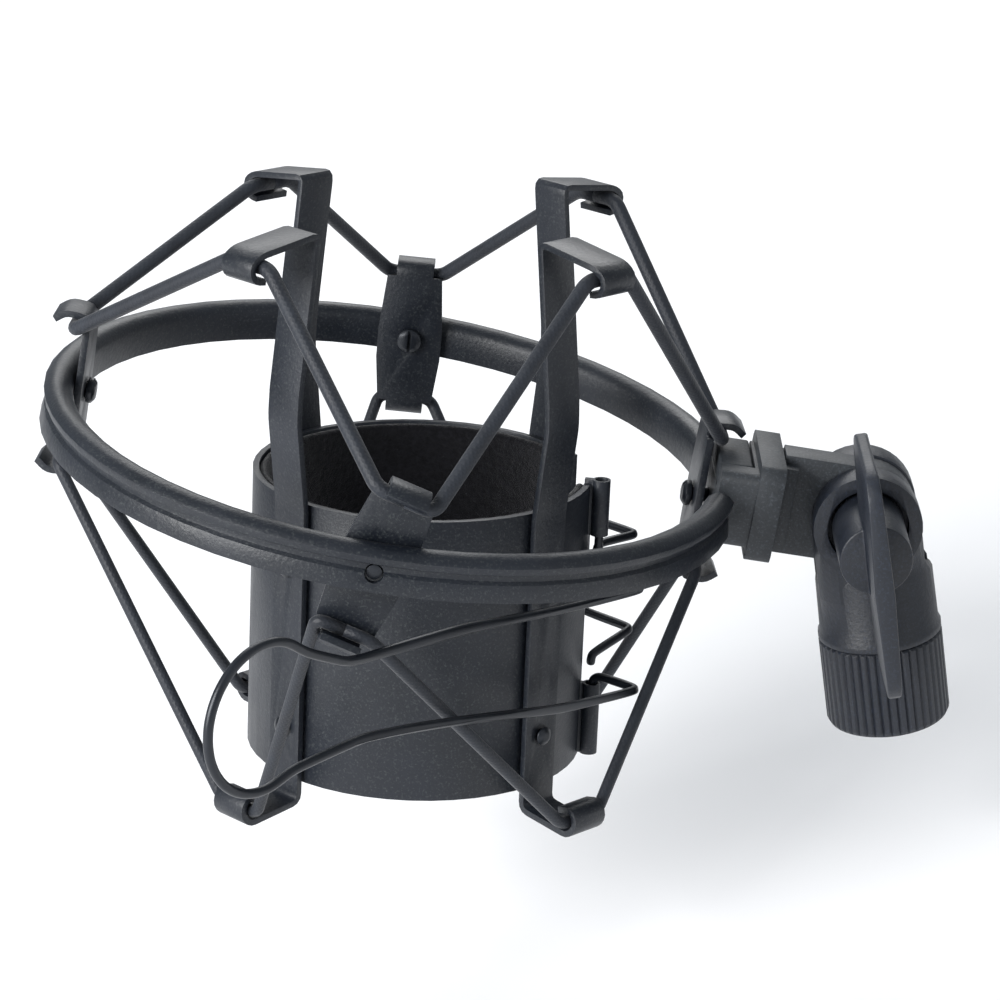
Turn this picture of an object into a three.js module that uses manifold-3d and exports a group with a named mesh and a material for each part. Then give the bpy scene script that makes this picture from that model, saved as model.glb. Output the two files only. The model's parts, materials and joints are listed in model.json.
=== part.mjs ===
// Elastic shock mount for a large microphone, in millimetres.
// The part's frame: Z is the axis of the stand collar, z = 0 its lower face, the ring reaches towards -X
// and the wing knob points towards -Y.
import * as THREE from "three";
import { mergeVertices } from "three/addons/utils/BufferGeometryUtils.js";
import Module from "manifold-3d";

const wasm = await Module();
wasm.setup();

const GAP = 0.3; // clearance between pieces that touch

// Stand collar, turned onto the thread of a stand.
const COLLAR = { radius: 11.2, height: 17, boreRadius: 8.9, webFrom: 13, edge: 1.6 };
const RIBS = { count: 44, depth: 0.45 };
const INSERT = { outer: 8.6, inner: 7.7, height: 12.4 };

// Swivel block: a round base and two cheeks that hold the arm.
const PIVOT = { x: -0.6, z: 40.5 };
const BASE = { radius: 10.8, flange: 11.2, flangeHeight: 1.6, bottom: 17.3, rise: 15.2 };
const CHEEKS = { half: 9.7, face: 8.5, slotHalf: 3.2 };
const SLOT_FLOOR = 28.6;
const STUD_RADIUS = 2.4;
const NUT = { flats: 8, thickness: 3 };
const STEM = { radius: 2.5, headRadius: 5.2, headHeight: 1.8 };

// Wing knob.
const BOSS = { radius: 6.4, back: 6.3, front: 23.4, recessRadius: 7.25, recessFloor: 6 };
const WING = { half: 21.2, back: 11.4, front: 39.2, thickness: 3.4, corner: 6 };

// Head: ring, neck and arm share one frame with its origin at the centre of the ring.
const HEAD = { reach: 85.7, tilt: 17 };
const ARM = { half: 9.3, thickness: 5.6, from: 69.6 };
const NECK = { from: 58, to: 69.3, halfDepth: 10, halfHeight: 7 };
const NECK_BAND = { from: 64.8, halfDepth: 10.7, halfHeight: 9 };
const RING = { end: 12.4 };
const RING_SKIN = [
  [56.9, -3],
  [56.9, 1.8],
  [57.5, 3.1],
  [58.7, 3.9],
  [59.9, 4.1],
  [61.2, 3.5],
  [62.1, 2.5],
  [61.9, 1.3],
  [61.1, 0.9],
  [61.1, -0.1],
  [61.7, -0.6],
  [62.2, -3.6],
];
const RING_LINING = [
  [61.2, -3.6],
  [60.7, -1],
  [60.1, -0.5],
  [60.1, 1.4],
  [60.9, 2.2],
  [59.9, 3.1],
  [58.9, 2.9],
  [57.9, 1.6],
  [57.9, -3],
];

// Hook plates inside the ring: angle round the ring, height of the plate's middle, lean about its screw.
const PLATE = { radius: 55.7, thickness: 1.2, half: 12.6, endWidth: 10.4, midWidth: 12.2, tongue: 7 };
const PLATES = [
  { name: "left", angle: 176, height: -1, lean: 0 },
  { name: "back", angle: 88, height: 0, lean: -4 },
  { name: "right", angle: 4, height: -3, lean: 0 },
  { name: "front", angle: -91, height: -0.5, lean: -15 },
];
const SCREW = { headRadius: 2.3, headHeight: 1.5, slot: 0.6, shank: 1.3 };

// Cup: a clamp band with a felt lining, hung askew below the ring.
const CUP_AT = { x: 9.5, y: -1.75, z: -30.1, lean: -7, nod: -3.5 };
const CUP = { radius: 30.3, wall: 1.1, half: 25.7, gapFrom: -8, gapTo: 23 };
const FELT = { thickness: 1.6, half: 25.4 };
const STRAP_ANGLES = { front_left: -135, back_left: 135, front_right: -45, back_right: 45 };
const STRAP = { width: 7.4, thickness: 1.1 };
const RIVET = { radius: 1.7, dome: 0.9, shank: 1, heights: [-15.5, 14] };

// Latch: knuckles on the two edges of the band, a wire lever and a wire link.
const WIRE = 0.9; // wire radius
const NEAR = { x: 31.8, y: -5 };
const FAR = { x: 29.4, y: 13.1 };
const KNUCKLE = { radius: 1.6, bore: 1.2, upper: [16.2, 26.5], lower: [-25.4, -12], far: [-2.8, 12.4] };
const LEVER = { angle: 229.5, upper: 9, lower: -10.2, crank: [40.2, -12.4] };
const LOOP = { along: 97.3, up: 11, radius: 12.7 };
const LINK = { upper: 13.7, lower: -4.4, apex: [39.1, 3.6], hook: [31.6, -2.6] };

// Elastic cords.
const CORD = { upperRadius: 1.3, lowerRadius: 1.1 };

const rad = (degrees) => THREE.MathUtils.degToRad(degrees);

// ---- solids ----------------------------------------------------------------------------------------

function solid(geometry) {
  const bare = geometry.clone();
  bare.deleteAttribute("normal");
  bare.deleteAttribute("uv");
  const merged = mergeVertices(bare, 1e-4);
  return new wasm.Manifold(
    new wasm.Mesh({
      numProp: 3,
      vertProperties: new Float32Array(merged.attributes.position.array),
      triVerts: new Uint32Array(merged.index.array),
    }),
  );
}

function geometryOf(manifold) {
  const mesh = manifold.getMesh();
  const geometry = new THREE.BufferGeometry();
  geometry.setAttribute("position", new THREE.BufferAttribute(new Float32Array(mesh.vertProperties), 3));
  geometry.setIndex(new THREE.BufferAttribute(new Uint32Array(mesh.triVerts), 1));
  return geometry;
}

function add(...geometries) {
  return geometryOf(geometries.map(solid).reduce((sum, next) => sum.add(next)));
}

function cut(body, ...tools) {
  return geometryOf(tools.map(solid).reduce((rest, tool) => rest.subtract(tool), solid(body)));
}

function keep(a, b) {
  return geometryOf(solid(a).intersect(solid(b)));
}

// ---- basic shapes ----------------------------------------------------------------------------------

// A solid of revolution about Z from a closed list of [radius, z], counter-clockwise seen with z up.
function turned(profile, sides) {
  const points = [...profile, profile[0]].map(([r, z]) => new THREE.Vector2(r, z));
  return new THREE.LatheGeometry(points, sides).rotateX(Math.PI / 2);
}

function disc(radius, from, to, sides = 32) {
  return new THREE.CylinderGeometry(radius, radius, to - from, sides)
    .rotateX(Math.PI / 2)
    .translate(0, 0, (from + to) / 2);
}

// A cylinder along Y between two values of y, through x, z.
function pin(radius, from, to, x = 0, z = 0, sides = 24) {
  const cylinder = new THREE.CylinderGeometry(radius, radius, Math.abs(to - from), sides);
  return cylinder.translate(x, (from + to) / 2, z);
}

function box(x0, x1, y0, y1, z0, z1) {
  const block = new THREE.BoxGeometry(x1 - x0, y1 - y0, z1 - z0);
  return block.translate((x0 + x1) / 2, (y0 + y1) / 2, (z0 + z1) / 2);
}

function prism(outline, height) {
  const shape = new THREE.Shape(outline.map(([x, y]) => new THREE.Vector2(x, y)));
  return new THREE.ExtrudeGeometry(shape, { depth: height, bevelEnabled: false });
}

// A rectangle with rounded corners, centred on the origin.
function roundedRectangle(width, height, radius, steps = 4) {
  const corners = [
    [width / 2 - radius, height / 2 - radius, 0],
    [radius - width / 2, height / 2 - radius, 90],
    [radius - width / 2, radius - height / 2, 180],
    [width / 2 - radius, radius - height / 2, 270],
  ];
  const outline = [];
  for (const [x, y, start] of corners) {
    for (let i = 0; i <= steps; i++) {
      const angle = rad(start + (90 * i) / steps);
      outline.push([x + radius * Math.cos(angle), y + radius * Math.sin(angle)]);
    }
  }
  return outline;
}

// ---- bent strips and wires -------------------------------------------------------------------------

// The points of a polyline with each inner corner rounded to the given radius.
function rounded(points, radius, steps = 4) {
  const path = [points[0]];
  for (let i = 1; i < points.length - 1; i++) {
    const [before, corner, after] = [points[i - 1], points[i], points[i + 1]];
    const reach = Math.min(radius, corner.distanceTo(before) / 2.1, corner.distanceTo(after) / 2.1);
    const start = corner.clone().lerp(before, reach / corner.distanceTo(before));
    const end = corner.clone().lerp(after, reach / corner.distanceTo(after));
    for (let k = 0; k <= steps; k++) {
      const t = k / steps;
      path.push(start.clone().lerp(corner, t).lerp(corner.clone().lerp(end, t), t));
    }
  }
  path.push(points[points.length - 1]);
  return path;
}

// A curve that passes through each of its points at equal steps of the parameter.
class PointCurve extends THREE.Curve {
  constructor(points) {
    super();
    this.points = points;
  }
  getPoint(t) {
    const place = THREE.MathUtils.clamp(t, 0, 1) * (this.points.length - 1);
    const index = Math.min(Math.floor(place), this.points.length - 2);
    return this.points[index].clone().lerp(this.points[index + 1], place - index);
  }
  getPointAt(t) {
    return this.getPoint(t);
  }
  getTangentAt(t) {
    return this.getTangent(t);
  }
}

function wire(points, radius, sides = 8) {
  const outline = [];
  for (let i = 0; i < sides; i++) {
    const angle = (2 * Math.PI * i) / sides;
    outline.push(new THREE.Vector2(radius * Math.cos(angle), radius * Math.sin(angle)));
  }
  return new THREE.ExtrudeGeometry(new THREE.Shape(outline), {
    steps: points.length - 1,
    extrudePath: new PointCurve(points),
    bevelEnabled: false,
  });
}

// A sheet strip bent along a polyline of [out, up], centred on y = 0, in the plane x = out, z = up.
function strip(points, thickness, width, bend = 1.6) {
  const path = rounded(
    points.map(([x, y]) => new THREE.Vector2(x, y)),
    bend,
    3,
  );
  const sides = [[], []];
  path.forEach((point, i) => {
    const before = path[Math.max(i - 1, 0)];
    const after = path[Math.min(i + 1, path.length - 1)];
    const along = after.clone().sub(before).normalize();
    const across = new THREE.Vector2(-along.y, along.x).multiplyScalar(thickness / 2);
    sides[0].push(point.clone().add(across));
    sides[1].unshift(point.clone().sub(across));
  });
  const outline = [...sides[0], ...sides[1]].map((point) => [point.x, point.y]);
  return prism(outline, width)
    .translate(0, 0, -width / 2)
    .rotateX(Math.PI / 2);
}

// ---- frames ----------------------------------------------------------------------------------------

function frame(x, y, z, turnY = 0, turnX = 0, turnZ = 0) {
  return new THREE.Matrix4()
    .makeTranslation(x, y, z)
    .multiply(new THREE.Matrix4().makeRotationY(rad(turnY)))
    .multiply(new THREE.Matrix4().makeRotationX(rad(turnX)))
    .multiply(new THREE.Matrix4().makeRotationZ(rad(turnZ)));
}

const HEAD_FRAME = frame(PIVOT.x, 0, PIVOT.z, HEAD.tilt).multiply(frame(-HEAD.reach, 0, 0));
const CUP_FRAME = HEAD_FRAME.clone().multiply(
  frame(CUP_AT.x, CUP_AT.y, CUP_AT.z, CUP_AT.lean, CUP_AT.nod),
);

// ---- materials -------------------------------------------------------------------------------------

const FINISH = {
  paint: { color: 0x24262b, roughness: 0.5, metalness: 0.4 },
  plastic: { color: 0x2a2c31, roughness: 0.6, metalness: 0 },
  darkPlastic: { color: 0x1d1f24, roughness: 0.55, metalness: 0 },
  steel: { color: 0x8c8f94, roughness: 0.35, metalness: 1 },
  brass: { color: 0xb08d4a, roughness: 0.35, metalness: 1 },
  blackSteel: { color: 0x1c1d20, roughness: 0.35, metalness: 0.8 },
  felt: { color: 0x141518, roughness: 1, metalness: 0 },
  rubber: { color: 0x1f2125, roughness: 0.8, metalness: 0 },
};

const part = new THREE.Group();

function piece(name, geometry, finish, placed) {
  if (placed) geometry.applyMatrix4(placed);
  geometry.computeVertexNormals();
  const mesh = new THREE.Mesh(geometry, new THREE.MeshStandardMaterial(FINISH[finish]));
  mesh.name = name;
  part.add(mesh);
}

// ---- stand collar ----------------------------------------------------------------------------------

function ribbedOutline() {
  const outline = [];
  for (let i = 0; i < RIBS.count; i++) {
    for (const [share, depth] of [[0.1, 0], [0.55, 0], [0.8, RIBS.depth]]) {
      const angle = (2 * Math.PI * (i + share)) / RIBS.count;
      const radius = COLLAR.radius - depth;
      outline.push([radius * Math.cos(angle), radius * Math.sin(angle)]);
    }
  }
  return outline;
}

function threadCollar() {
  const { radius, height, edge, boreRadius, webFrom } = COLLAR;
  const ribs = prism(ribbedOutline(), height);
  const inside = [[boreRadius, webFrom], [boreRadius, 0]];
  const web = [[STEM.radius + GAP, height], [STEM.radius + GAP, webFrom]];
  const foot = [[radius - edge, 0], [radius - 0.4, 0.6], [radius + 0.1, edge]];
  const top = [[radius + 0.1, height - 0.5], [radius - 0.4, height]];
  const envelope = turned([...foot, ...top, ...web, ...inside], 48);
  return keep(ribs, envelope);
}

piece("thread_collar", threadCollar(), "darkPlastic");

function threadInsert() {
  const { outer, inner, height } = INSERT;
  const outside = [[inner + 0.5, GAP], [outer, GAP], [outer, GAP + height]];
  return turned([...outside, [inner, GAP + height], [inner, 3 * GAP]], 32);
}

piece("thread_insert", threadInsert(), "brass");

// ---- swivel block ----------------------------------------------------------------------------------

function swivelBase() {
  const { radius, flange, bottom } = BASE;
  const flangeTop = bottom + BASE.flangeHeight;
  const top = bottom + BASE.rise;
  const foot = [[0, bottom], [flange, bottom], [flange, flangeTop - 0.6], [radius, flangeTop]];
  return turned([...foot, [radius - 0.2, top - 3], [radius - 1.6, top], [0, top]], 32);
}

function swivelBlock() {
  const { radius, bottom } = BASE;
  const { half, face, slotHalf } = CHEEKS;
  const top = bottom + BASE.rise;
  const round = pin(half, -face, face, PIVOT.x, PIVOT.z, 36);
  const sides = box(PIVOT.x - half, PIVOT.x + half, -face, face, top - 6, PIVOT.z);
  const cheeks = keep(sides, disc(radius - 0.2, top - 7, PIVOT.z + 1, 32).translate(PIVOT.x, 0, 0));
  const slot = box(-20, 20, -slotHalf, slotHalf, SLOT_FLOOR, PIVOT.z + 12);
  const stud = pin(STUD_RADIUS + GAP, -12, 12, PIVOT.x, PIVOT.z);
  const recess = pin(BOSS.recessRadius, -12, -BOSS.recessFloor, PIVOT.x, PIVOT.z, 36);
  const hexagon = pin((NUT.flats / 2 + GAP) / Math.cos(Math.PI / 6), 5.2, 12, PIVOT.x, PIVOT.z, 6);
  const stem = disc(STEM.radius + GAP, bottom - 1, SLOT_FLOOR - 4.6, 24);
  return cut(add(swivelBase(), round, cheeks), slot, stud, recess, hexagon, stem);
}

piece("swivel_block", swivelBlock(), "darkPlastic");

function tiltNut() {
  const from = 5.2 + GAP;
  const corner = NUT.flats / 2 / Math.cos(Math.PI / 6);
  const hexagon = pin(corner, from, from + NUT.thickness, PIVOT.x, PIVOT.z, 6);
  return cut(hexagon, pin(STUD_RADIUS + GAP, from - 1, from + 8, PIVOT.x, PIVOT.z));
}

piece("tilt_nut", tiltNut(), "steel");

function panStem() {
  const head = disc(STEM.headRadius, COLLAR.webFrom - GAP - STEM.headHeight, COLLAR.webFrom - GAP);
  return add(head, disc(STEM.radius, COLLAR.webFrom - 1, SLOT_FLOOR - 4.6 - GAP, 24));
}

piece("pan_stem", panStem(), "blackSteel");

// ---- wing knob -------------------------------------------------------------------------------------

// The blade: a rounded plate in the plane of the stud, thickest in the middle and thin at its two ends.
function wingBlade() {
  const { half, thickness, front, back } = WING;
  const depth = front - back;
  const plate = prism(roundedRectangle(2 * half, depth, WING.corner), 2 * thickness)
    .translate(0, 0, -thickness)
    .rotateY(Math.PI / 2)
    .translate(0, -(front + back) / 2, 0);
  const edge = [[0.25, half], [0.35, half - 0.8], [0.5, 0], [0.35, 0.8 - half], [0.25, -half]];
  const side = edge.map(([share, z]) => [share * thickness, z]);
  const lens = prism([...side, ...side.map(([x, z]) => [-x, z]).reverse()], depth)
    .rotateX(Math.PI / 2)
    .translate(0, -back, 0);
  return keep(plate, lens).translate(PIVOT.x, 0, PIVOT.z);
}

function wingKnob() {
  const boss = pin(BOSS.radius, -BOSS.front, -BOSS.back, PIVOT.x, PIVOT.z, 36);
  const socket = pin(STUD_RADIUS + GAP, -18.4, 0, PIVOT.x, PIVOT.z);
  return cut(add(boss, wingBlade()), socket);
}

piece("wing_knob", wingKnob(), "darkPlastic");
piece("wing_stud", pin(STUD_RADIUS, -18.1, 9.6, PIVOT.x, PIVOT.z), "steel");

// ---- arm and neck ----------------------------------------------------------------------------------

function arm() {
  const half = ARM.thickness / 2;
  const bar = box(ARM.from, HEAD.reach, -half, half, -ARM.half, ARM.half);
  const end = pin(ARM.half, -half, half, HEAD.reach, 0, 40);
  const root = box(ARM.from, ARM.from + 2.4, -half - 2.6, half + 2.6, -ARM.half + 1.6, ARM.half - 1.6);
  return cut(add(bar, end, root), pin(STUD_RADIUS + GAP, -12, 12, HEAD.reach, 0));
}

piece("arm", arm(), "plastic", HEAD_FRAME);

function neckBlock(from, to, halfDepth, halfHeight, radius) {
  return prism(roundedRectangle(2 * halfHeight, 2 * halfDepth, radius), to - from)
    .rotateY(Math.PI / 2)
    .translate(from, 0, 0);
}

// A spigot that fills the hollow of the ring beside the neck.
function spigot() {
  const outside = [[60.2, -2.6], [59.7, -0.5], [59.7, 1.5]];
  const channel = turned([[58.3, -2.6], ...outside, [58.8, 2.2], [58.3, 1.4]], 96);
  return keep(channel, box(50, 64, -20, 20, -9, 9));
}

function neckOpening() {
  return box(NECK.from - 1, NECK_BAND.from - 0.6, -5.4, 20, 2.4, 12);
}

function neckBody() {
  const nose = neckBlock(NECK.from, NECK.to - 1, NECK.halfDepth, NECK.halfHeight, 2);
  const band = neckBlock(NECK_BAND.from, NECK.to, NECK_BAND.halfDepth, NECK_BAND.halfHeight, 2);
  return cut(add(nose, band, spigot()), neckOpening(), ...PLATES.map(plateScrewHole));
}

piece("neck_body", neckBody(), "plastic", HEAD_FRAME);

function neckCap() {
  const nose = neckBlock(NECK.from, NECK.to - 1, NECK.halfDepth, NECK.halfHeight, 2);
  const space = box(NECK.from - 2, NECK_BAND.from - 0.6 - GAP, -5.4 + GAP, 20, 2.4 + GAP, 12);
  return keep(nose, space);
}

piece("neck_cap", neckCap(), "plastic", HEAD_FRAME);

// ---- ring ------------------------------------------------------------------------------------------

function ring() {
  const full = turned([...RING_SKIN, ...RING_LINING].reverse(), 56);
  const mouth = box(40, 70, -RING.end, RING.end, -10, 10);
  return cut(full, mouth, ...PLATES.map(plateScrewHole));
}

function plateFrame({ angle, height, lean }) {
  return frame(0, 0, 0, 0, 0, angle)
    .multiply(frame(PLATE.radius, 0, height))
    .multiply(new THREE.Matrix4().makeRotationX(rad(lean)));
}

function alongX(radius, from, to, sides = 20) {
  return disc(radius, from, to, sides).rotateY(Math.PI / 2);
}

function plateScrewHole(plate) {
  return alongX(SCREW.shank + GAP, -2, 12, 14).applyMatrix4(plateFrame(plate));
}

piece("ring", ring(), "paint", HEAD_FRAME);

// A hook plate: a tapered sheet with a tongue at each end, curled outward into a hook.
function hookPlate() {
  const { half, endWidth, midWidth, tongue, thickness } = PLATE;
  const edge = [[-endWidth / 2, half], [-midWidth / 2, 2], [-midWidth / 2, -4], [-endWidth / 2, -half]];
  const sheet = prism([...edge, ...edge.map(([x, y]) => [-x, y]).reverse()], thickness)
    .rotateX(Math.PI / 2)
    .rotateZ(Math.PI / 2)
    .translate(-thickness / 2, 0, 0);
  const rise = [[0, half - 2], [0, half + 1.9], [4.2, half + 2.2], [6.1, half + 0.7]];
  const drop = [[0, 2 - half], [0, -half - 2.2], [4.2, -half - 2.5], [6.1, -half - 0.9]];
  const upper = strip(rise, thickness, tongue);
  const lower = strip(drop, thickness, tongue);
  return cut(add(sheet, upper, lower), alongX(SCREW.shank + GAP, -3, 3, 14));
}

function plateScrew() {
  const face = -PLATE.thickness / 2 - GAP;
  const head = keep(
    alongX(SCREW.headRadius, face - SCREW.headHeight, face, 18),
    new THREE.SphereGeometry(3.4, 14, 10).translate(face + 1.5, 0, 0),
  );
  const shank = alongX(SCREW.shank, face - 0.2, 5.2, 12);
  const slot = box(face - 3, face - SCREW.headHeight + 0.6, -SCREW.slot / 2, SCREW.slot / 2, -4, 4);
  return cut(add(head, shank), slot);
}

for (const plate of PLATES) {
  const placed = HEAD_FRAME.clone().multiply(plateFrame(plate));
  piece(`hook_plate_${plate.name}`, hookPlate(), "paint", placed);
  piece(`plate_screw_${plate.name}`, plateScrew(), "blackSteel", placed);
}

// ---- cup -------------------------------------------------------------------------------------------

function arcOutline(inner, outer, fromAngle, toAngle, steps) {
  const outline = [];
  for (let i = 0; i <= steps; i++) {
    const angle = rad(fromAngle + ((toAngle - fromAngle) * i) / steps);
    outline.push([outer * Math.cos(angle), outer * Math.sin(angle)]);
  }
  for (let i = steps; i >= 0; i--) {
    const angle = rad(fromAngle + ((toAngle - fromAngle) * i) / steps);
    outline.push([inner * Math.cos(angle), inner * Math.sin(angle)]);
  }
  return outline;
}

// A rolled knuckle and the sheet that leads to it from the band's edge.
function knuckle(axis, [from, to]) {
  const reach = Math.hypot(axis.x, axis.y);
  const tube = disc(KNUCKLE.radius, from, to, 20).translate(axis.x, axis.y, 0);
  const web = box(CUP.radius - CUP.wall, reach, -0.6, 0.6, from, to).rotateZ(Math.atan2(axis.y, axis.x));
  return add(tube, web);
}

function knuckleBore(axis, [from, to]) {
  return disc(KNUCKLE.bore, from - 1, to + 1, 16).translate(axis.x, axis.y, 0);
}

function cupBand() {
  const inner = CUP.radius - CUP.wall;
  const band = prism(arcOutline(inner, CUP.radius, CUP.gapTo, 360 + CUP.gapFrom, 44), 2 * CUP.half)
    .translate(0, 0, -CUP.half);
  const places = [[NEAR, KNUCKLE.upper], [NEAR, KNUCKLE.lower], [FAR, KNUCKLE.far]];
  const whole = add(band, ...places.map(([axis, span]) => knuckle(axis, span)));
  const bores = places.map(([axis, span]) => knuckleBore(axis, span));
  return cut(whole, ...bores, ...rivetCutters(RIVET.shank + GAP, CUP.radius - 4));
}

function eachRivet() {
  return Object.entries(STRAP_ANGLES).flatMap(([name, angle]) =>
    RIVET.heights.map((height, i) => ({ name: `rivet_${name}_${i + 1}`, angle, height })),
  );
}

// A round cutter at each rivet's place.
function rivetCutters(radius, from) {
  return eachRivet().map(({ angle, height }) =>
    alongX(radius, from, CUP.radius + 4, 12).translate(0, 0, height).rotateZ(rad(angle)),
  );
}

piece("cup_band", cupBand(), "paint", CUP_FRAME);

function feltLining() {
  const outer = CUP.radius - CUP.wall - GAP;
  const inner = outer - FELT.thickness;
  const outline = arcOutline(inner, outer, CUP.gapTo + 0.6, 359.4 + CUP.gapFrom, 44);
  const sheet = prism(outline, 2 * FELT.half).translate(0, 0, -FELT.half);
  return cut(sheet, ...rivetCutters(RIVET.radius + 0.5, CUP.radius - 2.6));
}

piece("felt_lining", feltLining(), "felt", CUP_FRAME);

// A strap, from the curl of its lower hook to the curl of its upper hook, as [radius, height].
function strap() {
  const back = CUP.radius + GAP + STRAP.thickness / 2 + 0.25;
  const lowerHook = [[40.4, -26], [43.6, -25.2], [44.6, -28], [42.8, -30.2], [back, -28.9]];
  const leg = [[back, 25], [33.5, 41], [33.3, 46], [29.9, 73.6]];
  const upperHook = [[42.8, 71.8], [45, 70.2], [44.2, 67.6], [41.8, 67.3]];
  const body = strip([...lowerHook, ...leg, ...upperHook], STRAP.thickness, STRAP.width, 1.5);
  const hole = alongX(RIVET.shank + GAP, 28, 36, 12);
  return cut(body, ...RIVET.heights.map((height) => hole.clone().translate(0, 0, height)));
}

function rivet() {
  const outside = CUP.radius + STRAP.thickness + 0.55 + 2 * GAP;
  const dome = keep(
    alongX(RIVET.radius, outside, outside + RIVET.dome, 12),
    new THREE.SphereGeometry(2.3, 12, 8).rotateZ(Math.PI / 2).translate(outside - 1.3, 0, 0),
  );
  const shank = alongX(RIVET.shank, CUP.radius - CUP.wall - 0.9, outside + 0.1, 8);
  const tail = alongX(RIVET.radius, CUP.radius - CUP.wall - GAP - 0.7, CUP.radius - CUP.wall - GAP, 12);
  return add(dome, shank, tail);
}

for (const [name, angle] of Object.entries(STRAP_ANGLES)) {
  piece(`strap_${name}`, strap().rotateZ(rad(angle)), "paint", CUP_FRAME);
}
for (const { name, angle, height } of eachRivet()) {
  piece(name, rivet().translate(0, 0, height).rotateZ(rad(angle)), "blackSteel", CUP_FRAME);
}

// ---- latch -----------------------------------------------------------------------------------------

const point = (x, y, z) => new THREE.Vector3(x, y, z);

// The lever: a keyhole of wire in an upright plane, with two cranks that turn in the near knuckles.
function latchLever() {
  const [cx, cy] = LEVER.crank;
  const direction = [Math.cos(rad(LEVER.angle)), Math.sin(rad(LEVER.angle))];
  const at = (s, z) => point(cx + s * direction[0], cy + s * direction[1], z);
  const bow = [];
  for (let angle = 138; angle >= -122; angle -= 26) {
    const along = LOOP.along + LOOP.radius * Math.cos(rad(angle));
    bow.push(at(along, LOOP.up + LOOP.radius * Math.sin(rad(angle))));
  }
  const { upper, lower } = LEVER;
  const route = [
    point(NEAR.x, NEAR.y, upper + 10), point(NEAR.x, NEAR.y, upper), at(0, upper), at(24, upper + 1.7),
    at(49, upper + 5), at(68, upper + 5.9), at(77.5, upper + 6.1), ...bow, at(80, lower + 11),
    at(73.5, lower + 11.3), at(54, lower + 8.7), at(23, lower + 2.5), at(0, lower),
    point(NEAR.x, NEAR.y, lower), point(NEAR.x, NEAR.y, lower - 10),
  ];
  return wire(rounded(route, 2.2, 2), WIRE);
}

piece("latch_lever", latchLever(), "blackSteel", CUP_FRAME);

// The link: one wire that turns in the far knuckle and hooks behind the lever's cranks.
function latchLink() {
  const [ax, ay] = LINK.apex;
  const [hx, hy] = LINK.hook;
  const { upper, lower } = LINK;
  const route = [
    point(hx, hy, upper - 3.2), point(hx, hy, upper), point(ax, ay, upper), point(FAR.x, FAR.y, upper),
    point(FAR.x, FAR.y, lower), point(ax, ay, lower), point(hx, hy, lower - 3),
    point(hx, hy, lower - 5.2),
  ];
  return wire(rounded(route, 1.4, 2), WIRE);
}

piece("latch_link", latchLink(), "blackSteel", CUP_FRAME);

// ---- elastic cords ---------------------------------------------------------------------------------

// The two ends of the cord's seat in a hook, in the part's frame, in the order of travel.
function seat(placed, out, halfWidth, height) {
  return [-halfWidth, halfWidth].map((y) => point(out, y, height).applyMatrix4(placed));
}

function strapSeat(angle, height) {
  const placed = CUP_FRAME.clone().multiply(frame(0, 0, 0, 0, 0, angle));
  return seat(placed, 42.1, 4.6, height);
}

function plateSeat(plate, height) {
  return seat(HEAD_FRAME.clone().multiply(plateFrame(plate)), 3, 5, height);
}

function cordPath(strapHeight, plateHeight) {
  const seats = [];
  const names = ["back_right", "back_left", "front_left", "front_right"];
  const plates = ["back", "left", "front", "right"];
  names.forEach((name, i) => {
    const plate = PLATES.find((candidate) => candidate.name === plates[i]);
    seats.push(strapSeat(STRAP_ANGLES[name], strapHeight), plateSeat(plate, plateHeight));
  });
  const stops = seats.flat();
  const start = stops[0].clone().lerp(stops[1], 0.55);
  const finish = stops[0].clone().lerp(stops[1], 0.35);
  return rounded([start, ...stops.slice(1), stops[0], finish], 1.6, 2);
}

piece("upper_cord", wire(cordPath(69.8, PLATE.half - 0.1), CORD.upperRadius), "rubber");
piece("lower_cord", wire(cordPath(-27.9, -PLATE.half - 0.1), CORD.lowerRadius), "rubber");

export default part;
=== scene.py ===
"""The looks of an elastic microphone shock mount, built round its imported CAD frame. Metres, Z up."""

import json
import math
import random

import bmesh
import bpy
from mathutils import Matrix, Vector

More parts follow.
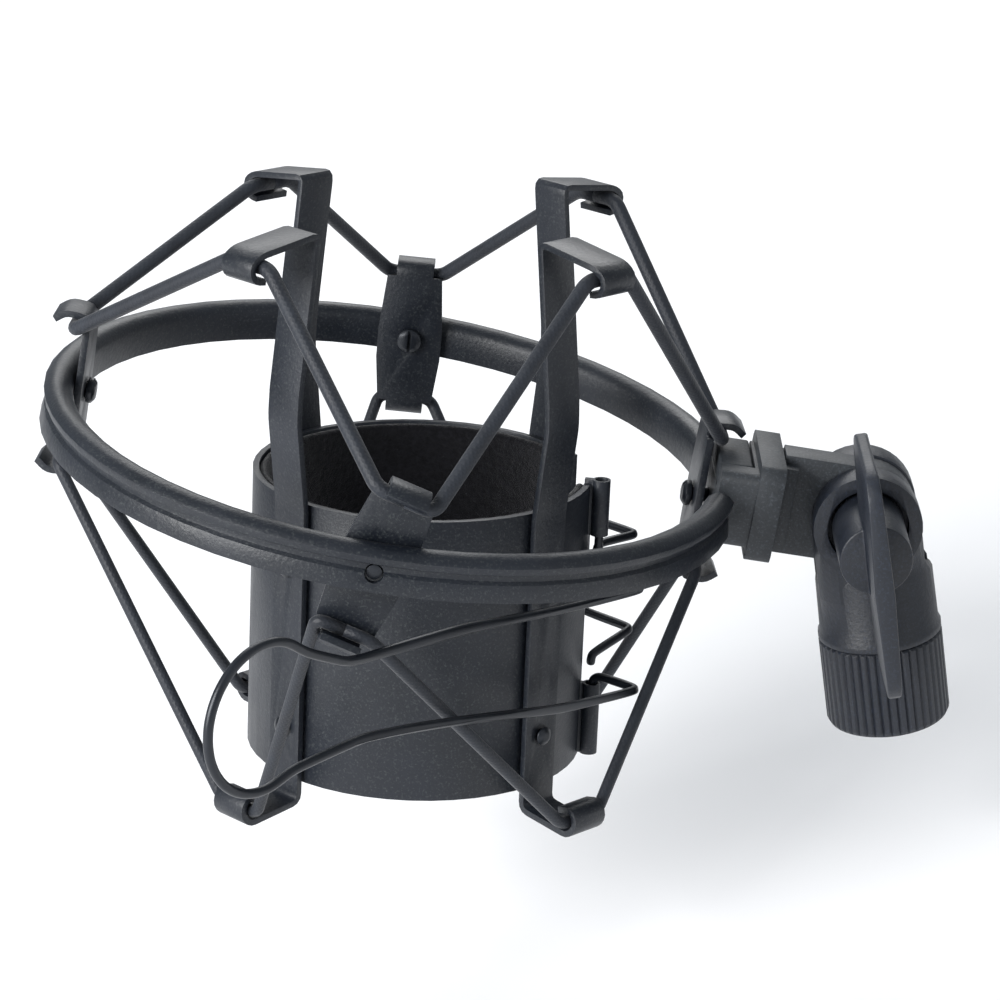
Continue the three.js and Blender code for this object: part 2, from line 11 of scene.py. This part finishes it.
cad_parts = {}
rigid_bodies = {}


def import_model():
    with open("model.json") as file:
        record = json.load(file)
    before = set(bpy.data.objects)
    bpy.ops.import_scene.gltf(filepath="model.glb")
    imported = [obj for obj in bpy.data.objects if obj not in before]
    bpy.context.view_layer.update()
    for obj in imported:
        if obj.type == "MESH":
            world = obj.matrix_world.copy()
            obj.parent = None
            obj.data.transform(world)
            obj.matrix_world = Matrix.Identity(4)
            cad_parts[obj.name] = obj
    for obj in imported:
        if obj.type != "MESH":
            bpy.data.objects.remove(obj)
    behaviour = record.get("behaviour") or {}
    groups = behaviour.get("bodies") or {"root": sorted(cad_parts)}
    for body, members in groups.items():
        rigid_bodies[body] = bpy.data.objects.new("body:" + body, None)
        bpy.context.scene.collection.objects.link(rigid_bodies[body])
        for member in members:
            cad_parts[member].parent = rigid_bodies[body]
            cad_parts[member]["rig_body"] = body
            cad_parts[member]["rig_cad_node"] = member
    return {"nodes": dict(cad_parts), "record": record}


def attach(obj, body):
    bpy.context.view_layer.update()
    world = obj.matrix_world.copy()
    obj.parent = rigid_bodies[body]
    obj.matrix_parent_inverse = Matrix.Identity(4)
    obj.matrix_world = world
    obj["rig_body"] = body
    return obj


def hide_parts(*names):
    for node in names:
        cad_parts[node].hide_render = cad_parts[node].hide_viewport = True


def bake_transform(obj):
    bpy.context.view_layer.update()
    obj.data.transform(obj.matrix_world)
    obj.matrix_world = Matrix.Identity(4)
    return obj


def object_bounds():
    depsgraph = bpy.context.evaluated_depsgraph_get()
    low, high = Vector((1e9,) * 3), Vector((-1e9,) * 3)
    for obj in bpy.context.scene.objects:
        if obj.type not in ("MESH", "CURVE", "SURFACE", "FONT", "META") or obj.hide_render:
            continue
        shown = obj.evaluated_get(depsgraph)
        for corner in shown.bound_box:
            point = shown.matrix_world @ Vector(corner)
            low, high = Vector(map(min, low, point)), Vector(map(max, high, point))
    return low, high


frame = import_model()
cad_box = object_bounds()
nodes = frame["nodes"]
random.seed(7)

MM = 0.001

# ---- where things are --------------------------------------------------------------------------------

PIVOT = Vector((-0.6, 0, 40.5)) * MM  # the tilt axis
HEAD_TILT = math.radians(17)
HEAD_REACH = 85.7 * MM  # from the ring's centre to the pivot
CUP_PLACE = Vector((9.5, -1.75, -30.1)) * MM  # the cup's middle, from the ring's centre


def turned_frame(place, turn_y=0.0, turn_x=0.0, turn_z=0.0):
    """A frame at a place, turned about Y, then X, then Z, in degrees."""
    turns = Matrix.Rotation(math.radians(turn_y), 4, "Y")
    turns = turns @ Matrix.Rotation(math.radians(turn_x), 4, "X")
    turns = turns @ Matrix.Rotation(math.radians(turn_z), 4, "Z")
    return Matrix.Translation(place) @ turns


HEAD = Matrix.Translation(PIVOT) @ Matrix.Rotation(HEAD_TILT, 4, "Y")
HEAD = HEAD @ Matrix.Translation((-HEAD_REACH, 0, 0))
CUP = HEAD @ turned_frame(CUP_PLACE, -7, -3.5)

# ---- rigid pieces: how far their edges are broken, in mm ---------------------------------------------

EDGES = {
    "thread_collar": 0.12,
    "thread_insert": 0.2,
    "swivel_block": 0.5,
    "wing_knob": 0.6,
    "arm": 0.5,
    "neck_body": 0.35,
    "neck_cap": 0.35,
    "ring": 0.15,
    "cup_band": 0.2,
}
PLAIN_EDGE = 0.18
EDGE_SEGMENTS = 2
CORNER_ANGLE = math.radians(38)  # a sharper corner than this is an edge, a blunter one is round

SOFT_NODES = {"upper_cord", "lower_cord", "felt_lining"}
WIRE_NODES = ("latch_lever", "latch_link")

# ---- elastic cords -----------------------------------------------------------------------------------

# Both tables run the same way round the ring, and each plate comes after its strap.
STRAP_ANGLES = {"back_right": 45, "back_left": 135, "front_left": -135, "front_right": -45}
STRAP_SEAT = 42.1  # mm from the cup's axis to the cord in a strap's hook
STRAP_SEAT_HALF = 4.6

# Each hook plate: angle round the ring, height of its middle in mm, lean.
PLATES = {"back": (88, 0, -4), "left": (176, -1, 0), "front": (-91, -0.5, -15), "right": (4, -3, 0)}
PLATE_RADIUS = 55.7 * MM
PLATE_HALF = 12.6 * MM
PLATE_SEAT = 2.2 * MM  # from the plate's middle outwards to the cord
PLATE_SEAT_HALF = 5

# Each cord: its height in the straps' hooks in mm, its height on the hook plates, its radius.
CORDS = {
    "upper_cord": (69.8, PLATE_HALF - 0.1 * MM, 1.3 * MM),
    "lower_cord": (-27.9, -PLATE_HALF - 0.1 * MM, 1.1 * MM),
}
CORD_BEND = 1.8 * MM  # how far from a hook's corner the cord starts to curve
CORD_BEND_STEPS = 10
CORD_SIDES = 14

# ---- felt --------------------------------------------------------------------------------------------

CUP_RADIUS = 30.3 * MM
CUP_WALL = 1.1 * MM
CUP_GAP = (-8, 23)  # the band's slit, in degrees
FELT_THICKNESS = 1.6 * MM
FELT_HALF = 25.4 * MM
FELT_CLEARANCE = 0.15 * MM  # between the felt and the band
FELT_SETBACK = 0.6  # degrees from the slit to the felt's end
FELT_NAP = 0.06  # mm, how uneven the surface is
FELT_GLUED = 0.2 * MM  # nearer the band than this the felt is flat
FELT_COLUMNS = 300
FELT_ROWS = 90
FELT_EDGE_STEPS = 8

# ---- colours: each pair is the darkest and the lightest of one surface -------------------------------

COAT = (0.005, 0.007, 0.011), (0.010, 0.013, 0.020)
COAT_DUST = (0.055, 0.062, 0.063)
GREY_PLASTIC = (0.018, 0.021, 0.025), (0.029, 0.033, 0.038)
BLACK_PLASTIC = (0.005, 0.007, 0.012), (0.010, 0.013, 0.020)
PLATED_STEEL = (0.32, 0.33, 0.34), (0.5, 0.5, 0.51)
TURNED_BRASS = (0.42, 0.3, 0.12), (0.6, 0.44, 0.2)
OXIDE = (0.005, 0.007, 0.011), (0.011, 0.014, 0.020)
WOOL = (0.003, 0.003, 0.004), (0.012, 0.012, 0.015)
WOOL_LINT = (0.05, 0.052, 0.06)
CORD_COVER = (0.007, 0.009, 0.014), (0.014, 0.018, 0.026)
PALE_FLOOR = (0.90, 0.90, 0.91), (0.92, 0.92, 0.93)

CORD_PICKS = 900  # threads of each family of the woven cover met in a metre along the cord
CORD_THREADS = 8  # threads of each family met once round the cord

# ---- camera and studio -------------------------------------------------------------------------------

CAMERA_ROLL = math.radians(7.66)  # about Y, which leans the whole picture to one side
CAMERA_DISTANCE = 0.65
CAMERA_ELEVATION = math.radians(21.54)
CAMERA_LENS = 130.8
PIVOT_IN_VIEW = Vector((65.26, 0.64, -2.43)) * MM  # the tilt axis, seen from the camera's target

# Each lamp: its place from the ring's centre, its size, both in metres, and its power in watts.
LAMPS = {
    "key": ((-0.85, -0.75, 0.6), 0.8, 27),
    "fill": ((0.9, -0.7, 0.35), 0.9, 1.2),
    "rim": ((0.1, 0.9, 0.7), 0.8, 7),
}
ROOM_TINT = (0.88, 0.94, 1, 1)
ROOM_LIGHT = 0.38
FLOOR_DROP = 0.03  # below the part's lowest point
FLOOR_HALF = 4


# ---- shader helpers ----------------------------------------------------------------------------------


class Shader:
    """A Principled material under construction, with short ways to add procedural nodes."""

    def __init__(self, name, **settings):
        self.material = bpy.data.materials.new(name)
        self.material.use_nodes = True
        self.tree = self.material.node_tree
        self.surface = self.tree.nodes["Principled BSDF"]
        for key, value in settings.items():
            self.surface.inputs[key.replace("_", " ")].default_value = value

    def node(self, kind, **inputs):
        made = self.tree.nodes.new(kind)
        for key, value in inputs.items():
            made.inputs[key.replace("_", " ")].default_value = value
        return made

    def link(self, output, socket):
        self.tree.links.new(output, socket)

    def noise(self, scale, detail=4.0, roughness=0.6, distortion=0.0):
        """Noise that stays with the object, about 0.5 on average."""
        made = self.node("ShaderNodeTexNoise", Scale=scale, Detail=detail, Roughness=roughness)
        made.inputs["Distortion"].default_value = distortion
        self.link(self.node("ShaderNodeTexCoord").outputs["Object"], made.inputs["Vector"])
        return made.outputs["Fac"]

    def ramp(self, value, colours, start=0.3, end=0.7):
        """A value mapped from a dark colour to a light one."""
        made = self.node("ShaderNodeValToRGB")
        for element, position, colour in zip(made.color_ramp.elements, (start, end), colours):
            element.position = position
            element.color = (*colour, 1)
        self.link(value, made.inputs["Fac"])
        return made.outputs["Color"]

    def grey(self, value, low, high, start=0.3, end=0.7):
        """A value mapped to a range of greys, for roughness and masks."""
        made = self.node("ShaderNodeMapRange", From_Min=start, From_Max=end, To_Min=low, To_Max=high)
        self.link(value, made.inputs["Value"])
        return made.outputs["Result"]

    def mix(self, mask, under, over):
        """One colour where the mask is 0, and another plain colour where it is 1."""
        made = self.tree.nodes.new("ShaderNodeMix")
        made.data_type = "RGBA"
        self.link(mask, made.inputs["Factor"])
        self.link(under, made.inputs["A"])
        made.inputs["B"].default_value = (*over, 1)
        return made.outputs["Result"]

    def math(self, operation, *values):
        made = self.tree.nodes.new("ShaderNodeMath")
        made.operation = operation
        for socket, value in zip(made.inputs, values):
            if isinstance(value, (int, float)):
                socket.default_value = value
            else:
                self.link(value, socket)
        return made.outputs["Value"]

    def bump(self, height, strength, distance):
        made = self.node("ShaderNodeBump", Strength=strength, Distance=distance)
        self.link(height, made.inputs["Height"])
        return made.outputs["Normal"]

    def set(self, socket, output):
        self.link(output, self.surface.inputs[socket])


def powder_coat():
    """Black paint with a fine orange peel and a little dust."""
    shader = Shader("powder_coat", Metallic=0.0, Specular_IOR_Level=0.45)
    cloud = shader.noise(45)
    base = shader.ramp(cloud, COAT)
    dust = shader.grey(shader.noise(2300, 3, 0.6), 0, 0.5, 0.54, 0.7)
    shader.set("Base Color", shader.mix(dust, base, COAT_DUST))
    shader.set("Roughness", shader.grey(cloud, 0.36, 0.52))
    shader.set("Normal", shader.bump(shader.noise(1300, 3), 0.45, 0.00018))
    return shader.material


def moulded(name, dark, light, roughness):
    """Moulded plastic with a fine grain, faint flow clouds and a few scuffs."""
    shader = Shader(name)
    cloud = shader.noise(70)
    base = shader.ramp(cloud, (dark, light))
    scuffs = shader.grey(shader.noise(160, 6, 0.5, 2.5), 0, 0.35, 0.6, 0.72)
    worn = shader.mix(scuffs, base, tuple(1.8 * c for c in light))
    dust = shader.grey(shader.noise(2200, 3, 0.6), 0, 0.6, 0.53, 0.7)
    shader.set("Base Color", shader.mix(dust, worn, tuple(4 * c for c in dark)))
    shader.set("Roughness", shader.grey(cloud, roughness, roughness + 0.12))
    shader.set("Normal", shader.bump(shader.noise(1300, 3), 0.45, 0.0002))
    return shader.material


def bare_metal(name, dark, light, roughness):
    """Turned or plated metal with fine tool marks."""
    shader = Shader(name, Metallic=1.0)
    cloud = shader.noise(300)
    shader.set("Base Color", shader.ramp(cloud, (dark, light)))
    shader.set("Roughness", shader.grey(cloud, roughness, roughness + 0.15))
    shader.set("Normal", shader.bump(shader.noise(3000, 2), 0.15, 0.00005))
    return shader.material


def black_oxide():
    """Blackened steel, smoother than the paint."""
    shader = Shader("black_oxide", Metallic=0.35, Specular_IOR_Level=0.6)
    cloud = shader.noise(120)
    shader.set("Base Color", shader.ramp(cloud, OXIDE))
    shader.set("Roughness", shader.grey(cloud, 0.3, 0.42))
    shader.set("Normal", shader.bump(shader.noise(2200, 2), 0.15, 0.00008))
    return shader.material


def felt_material():
    """Pressed wool with a few pale specks of lint."""
    sheen = {"Sheen_Weight": 0.25, "Sheen_Roughness": 0.4}
    shader = Shader("felt", Roughness=0.95, Specular_IOR_Level=0.1, **sheen)
    wool = shader.noise(900, 8, 0.75)
    lint = shader.grey(shader.noise(1500, 2), 0, 0.5, 0.7, 0.76)
    base = shader.ramp(wool, WOOL, 0.35)
    shader.set("Base Color", shader.mix(lint, base, WOOL_LINT))
    shader.set("Normal", shader.bump(wool, 0.8, 0.0006))
    return shader.material


def cord_material():
    """Elastic cord with a fine woven cover: two families of threads wound opposite ways along its UVs."""
    shader = Shader("elastic_cord", Specular_IOR_Level=0.4, Sheen_Weight=0.1)
    split = shader.node("ShaderNodeSeparateXYZ")
    shader.link(shader.node("ShaderNodeTexCoord").outputs["UV"], split.inputs["Vector"])
    along = shader.math("MULTIPLY", split.outputs["X"], 2 * math.pi * CORD_PICKS)
    around = shader.math("MULTIPLY", split.outputs["Y"], 2 * math.pi * CORD_THREADS)
    left = shader.math("SINE", shader.math("ADD", along, around))
    right = shader.math("SINE", shader.math("SUBTRACT", along, around))
    weave = shader.math("MAXIMUM", left, right)
    cloud = shader.noise(200)
    shader.set("Base Color", shader.ramp(cloud, CORD_COVER))
    shader.set("Roughness", shader.grey(cloud, 0.5, 0.64))
    shader.set("Normal", shader.bump(weave, 0.25, 0.00008))
    return shader.material


def floor_material():
    shader = Shader("pale_floor", Roughness=0.9, Specular_IOR_Level=0.1)
    shader.set("Base Color", shader.ramp(shader.noise(6), PALE_FLOOR))
    return shader.material


# The material of each slot in the part's record.
FINISHES = {
    "paint": powder_coat(),
    "plastic": moulded("moulded_plastic", *GREY_PLASTIC, 0.46),
    "dark_plastic": moulded("ribbed_plastic", *BLACK_PLASTIC, 0.42),
    "steel": bare_metal("plated_steel", *PLATED_STEEL, 0.25),
    "brass": bare_metal("turned_brass", *TURNED_BRASS, 0.28),
    "black_steel": black_oxide(),
    "felt": felt_material(),
    "rubber": cord_material(),
}


# ---- mesh helpers ------------------------------------------------------------------------------------


def new_mesh(name, vertices, faces):
    mesh = bpy.data.meshes.new(name)
    mesh.from_pydata([tuple(v) for v in vertices], [], faces)
    made = bpy.data.objects.new(name, mesh)
    bpy.context.scene.collection.objects.link(made)
    return made


def shade_smooth(made):
    made.data.polygons.foreach_set("use_smooth", [True] * len(made.data.polygons))


def dress(made, slot):
    made.data.materials.clear()
    made.data.materials.append(FINISHES[slot])


def apply_modifiers(made):
    evaluated = made.evaluated_get(bpy.context.evaluated_depsgraph_get())
    made.data = bpy.data.meshes.new_from_object(evaluated)
    made.modifiers.clear()


def welded_copy(node):
    """A copy of a CAD node's mesh with its seams welded and its flat faces whole."""
    made = nodes[node].copy()
    made.data = nodes[node].data.copy()
    made.parent = None
    made.name = f"{node}_look"
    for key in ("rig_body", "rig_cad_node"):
        if key in made:
            del made[key]
    bpy.context.scene.collection.objects.link(made)
    work = bmesh.new()
    work.from_mesh(made.data)
    bmesh.ops.remove_doubles(work, verts=work.verts, dist=0.004 * MM)
    bmesh.ops.dissolve_limit(work, angle_limit=math.radians(1), verts=work.verts, edges=work.edges)
    work.to_mesh(made.data)
    work.free()
    return made


def stand_in(made, node, slot):
    """Shows a piece in place of a CAD node, on the same body."""
    dress(made, slot)
    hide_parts(node)
    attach(made, nodes[node]["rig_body"])


# ---- rigid pieces ------------------------------------------------------------------------------------


def softened(node, slot, edge):
    """The look of a CAD node: the same solid with its edges broken and its round faces smooth."""
    made = welded_copy(node)
    bevel = made.modifiers.new("edges", "BEVEL")
    bevel.width = edge * MM
    bevel.segments = EDGE_SEGMENTS
    bevel.limit_method = "ANGLE"
    bevel.angle_limit = CORNER_ANGLE
    apply_modifiers(made)
    shade_smooth(made)
    made.data.set_sharp_from_angle(angle=CORNER_ANGLE)
    stand_in(made, node, slot)


def rigid_pieces():
    """Every hard CAD node but the wires, in the finish of its material slot."""
    slots = {row["node"]: row["material_slot"] for row in frame["record"]["subparts"]}
    for node in sorted(nodes):
        if node not in SOFT_NODES and node not in WIRE_NODES:
            softened(node, slots[node], EDGES.get(node, PLAIN_EDGE))


def wire_look(node):
    """A bent wire: the CAD tube, subdivided until its bends are smooth."""
    made = welded_copy(node)
    smooth = made.modifiers.new("smooth", "SUBSURF")
    smooth.levels = smooth.render_levels = 2
    apply_modifiers(made)
    shade_smooth(made)
    stand_in(made, node, "black_steel")


# ---- elastic cords -----------------------------------------------------------------------------------


def rounded(points):
    """A polyline with each inner corner turned into a curve that starts and ends CORD_BEND away."""
    path = [points[0]]
    for before, corner, after in zip(points, points[1:], points[2:]):
        near = min(CORD_BEND, (corner - before).length / 2.1, (corner - after).length / 2.1)
        start = corner + (before - corner).normalized() * near
        end = corner + (after - corner).normalized() * near
        for k in range(CORD_BEND_STEPS + 1):
            t = k / CORD_BEND_STEPS
            path.append(start.lerp(corner, t).lerp(corner.lerp(end, t), t))
    path.append(points[-1])
    return path


def path_tangents(path):
    """The direction at each point of a path, halfway between those of the stretches beside it."""
    steps = [(b - a).normalized() for a, b in zip(path, path[1:])]
    between = [(a + b).normalized() for a, b in zip(steps, steps[1:])]
    return [steps[0], *between, steps[-1]]


def tube(name, path, radius):
    """A tube along a path, with UVs in metres along it and turns around it, and frames that don't twist."""
    tangents = path_tangents(path)
    side = tangents[0].orthogonal().normalized()
    vertices = []
    for place, along in zip(path, tangents):
        side = (side - along * side.dot(along)).normalized()
        other = along.cross(side)
        for i in range(CORD_SIDES):
            angle = 2 * math.pi * i / CORD_SIDES
            vertices.append(place + radius * (side * math.cos(angle) + other * math.sin(angle)))
    made = new_mesh(name, vertices, tube_faces(len(path)))
    write_tube_uvs(made, path)
    shade_smooth(made)
    return made


def tube_faces(rows):
    """The quads of a tube with this many rows of vertices, and its two end caps."""
    faces = []
    for row in range(rows - 1):
        low = row * CORD_SIDES
        high = low + CORD_SIDES
        for i in range(CORD_SIDES):
            j = (i + 1) % CORD_SIDES
            faces.append((low + i, low + j, high + j, high + i))
    faces.append(tuple(reversed(range(CORD_SIDES))))
    faces.append(tuple(range((rows - 1) * CORD_SIDES, rows * CORD_SIDES)))
    return faces


def write_tube_uvs(made, path):
    lengths = [0.0]
    for a, b in zip(path, path[1:]):
        lengths.append(lengths[-1] + (b - a).length)
    layer = made.data.uv_layers.new(name="along")
    for face in made.data.polygons[: (len(path) - 1) * CORD_SIDES]:
        i = face.index % CORD_SIDES
        for loop, turn in zip(face.loop_indices, (i, i + 1, i + 1, i)):
            row = made.data.loops[loop].vertex_index // CORD_SIDES
            layer.data[loop].uv = (lengths[row], turn / CORD_SIDES)


def strap_seat(angle, height):
    """Where a cord enters and leaves the hook of the strap at this angle."""
    place = CUP @ turned_frame((0, 0, 0), turn_z=angle)
    sides = (-STRAP_SEAT_HALF, STRAP_SEAT_HALF)
    return [place @ (Vector((STRAP_SEAT, y, height)) * MM) for y in sides]


def plate_seat(name, height):
    """Where a cord enters and leaves a hook of this plate."""
    angle, middle, lean = PLATES[name]
    place = HEAD @ turned_frame((0, 0, 0), turn_z=angle)
    place = place @ turned_frame((PLATE_RADIUS, 0, middle * MM), turn_x=lean)
    sides = (-PLATE_SEAT_HALF, PLATE_SEAT_HALF)
    return [place @ Vector((PLATE_SEAT, y * MM, height)) for y in sides]


def elastic_cord(node, strap_height, plate_height, radius):
    """One cord, as eight spans that each bend between a strap's hook and a plate's hook."""
    hooks = []
    for strap, plate in zip(STRAP_ANGLES, PLATES):
        hooks.append(("cup", strap_seat(STRAP_ANGLES[strap], strap_height)))
        hooks.append(("head", plate_seat(plate, plate_height)))
    for i, (body, (entry, leave)) in enumerate(hooks):
        _, (arrive, onward) = hooks[(i + 1) % len(hooks)]
        corners = [entry.lerp(leave, 0.5), leave, arrive, arrive.lerp(onward, 0.5)]
        span = tube(f"{node}_span_{i + 1}", rounded(corners), radius)
        dress(span, "rubber")
        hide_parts(node)
        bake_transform(span)


# ---- felt --------------------------------------------------------------------------------------------


def half_round(centre_radius, centre_height, radius, start):
    """The points between the ends of a half circle, as (radius, height)."""
    points = []
    for k in range(1, FELT_EDGE_STEPS):
        angle = start + math.pi * k / FELT_EDGE_STEPS
        across = centre_radius + radius * math.cos(angle)
        points.append((across, centre_height + radius * math.sin(angle)))
    return points


def felt_profile(outer):
    """The section of the felt as (radius, height), with both edges rounded over."""
    inner = outer - FELT_THICKNESS
    crown = FELT_THICKNESS / 2
    straight = FELT_HALF - crown
    profile = [(outer, -straight), (outer, straight)]
    profile += half_round(outer - crown, straight, crown, 0)
    profile += [(inner, straight * (1 - 2 * k / FELT_ROWS)) for k in range(FELT_ROWS + 1)]
    profile += half_round(outer - crown, -straight, crown, math.pi)
    return profile


def felt_vertices(profile, outer, first, last):
    """The profile swept round the cup, with an uneven nap on all but the glued face."""
    vertices = []
    for i in range(FELT_COLUMNS + 1):
        angle = first + (last - first) * i / FELT_COLUMNS
        for radius, height in profile:
            if radius < outer - FELT_GLUED:
                radius += random.uniform(-FELT_NAP, FELT_NAP) * MM
            place = Vector((radius * math.cos(angle), radius * math.sin(angle), height))
            vertices.append(CUP @ place)
    return vertices


def felt_faces(rows):
    """The quads between the columns of the felt, and a face at each end."""
    faces = []
    for i in range(FELT_COLUMNS):
        for j in range(rows):
            k = (j + 1) % rows
            faces.append((i * rows + j, (i + 1) * rows + j, (i + 1) * rows + k, i * rows + k))
    faces.append(tuple(range(rows)))
    faces.append(tuple(reversed(range(FELT_COLUMNS * rows, (FELT_COLUMNS + 1) * rows))))
    return faces


def felt_lining():
    """A felt sheet glued round the inside of the clamp band, with soft edges and an uneven nap."""
    outer = CUP_RADIUS - CUP_WALL - FELT_CLEARANCE
    first = math.radians(CUP_GAP[1] + FELT_SETBACK)
    last = math.radians(360 + CUP_GAP[0] - FELT_SETBACK)
    profile = felt_profile(outer)
    vertices = felt_vertices(profile, outer, first, last)
    made = new_mesh("felt_sheet", vertices, felt_faces(len(profile)))
    shade_smooth(made)
    dress(made, "felt")
    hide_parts("felt_lining")
    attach(made, "cup")


# ---- studio ------------------------------------------------------------------------------------------


def camera():
    turn = Matrix.Rotation(CAMERA_ROLL, 4, "Y")
    back = Vector((0, -math.cos(CAMERA_ELEVATION), math.sin(CAMERA_ELEVATION)))
    up = Vector((0, math.sin(CAMERA_ELEVATION), math.cos(CAMERA_ELEVATION)))
    place = turn @ (CAMERA_DISTANCE * back - PIVOT_IN_VIEW) + PIVOT
    axes = [turn @ Vector((1, 0, 0)), turn @ up, turn @ back]
    data = bpy.data.cameras.new("photo_view")
    data.lens = CAMERA_LENS
    made = bpy.data.objects.new("photo_view", data)
    made.matrix_world = Matrix.Translation(place) @ Matrix(axes).transposed().to_4x4()
    bpy.context.scene.collection.objects.link(made)
    bpy.context.scene.camera = made


def area_light(name, place, target, size, power):
    data = bpy.data.lights.new(name, "AREA")
    data.size = size
    data.energy = power
    made = bpy.data.objects.new(name, data)
    made.location = place
    made.rotation_euler = (target - place).to_track_quat("-Z", "Y").to_euler()
    bpy.context.scene.collection.objects.link(made)


def white_room():
    """A white surround that looks brighter than the light it gives, as an overexposed backdrop does."""
    world = bpy.data.worlds.new("studio")
    world.use_nodes = True
    tree = world.node_tree
    seen = tree.nodes["Background"]
    seen.inputs["Color"].default_value = (1, 1, 1, 1)
    lighting = tree.nodes.new("ShaderNodeBackground")
    lighting.inputs["Color"].default_value = ROOM_TINT
    lighting.inputs["Strength"].default_value = ROOM_LIGHT
    mixed = tree.nodes.new("ShaderNodeMixShader")
    tree.links.new(tree.nodes.new("ShaderNodeLightPath").outputs["Is Camera Ray"], mixed.inputs[0])
    tree.links.new(lighting.outputs[0], mixed.inputs[1])
    tree.links.new(seen.outputs[0], mixed.inputs[2])
    tree.links.new(mixed.outputs[0], tree.nodes["World Output"].inputs["Surface"])
    return world


def studio():
    low = cad_box[0][2] - FLOOR_DROP
    sides = ((-1, -1), (1, -1), (1, 1), (-1, 1))
    floor = new_mesh("floor", [(FLOOR_HALF * x, FLOOR_HALF * y, low) for x, y in sides], [(0, 1, 2, 3)])
    floor.data.materials.append(floor_material())
    middle = HEAD.translation
    for name, (offset, size, power) in LAMPS.items():
        area_light(name, middle + Vector(offset), middle, size, power)
    bpy.context.scene.world = white_room()
    bpy.context.scene.view_settings.view_transform = "Standard"


rigid_pieces()
for wire in WIRE_NODES:
    wire_look(wire)
for cord, (strap_height, plate_height, radius) in CORDS.items():
    elastic_cord(cord, strap_height, plate_height, radius)
felt_lining()
camera()
studio()
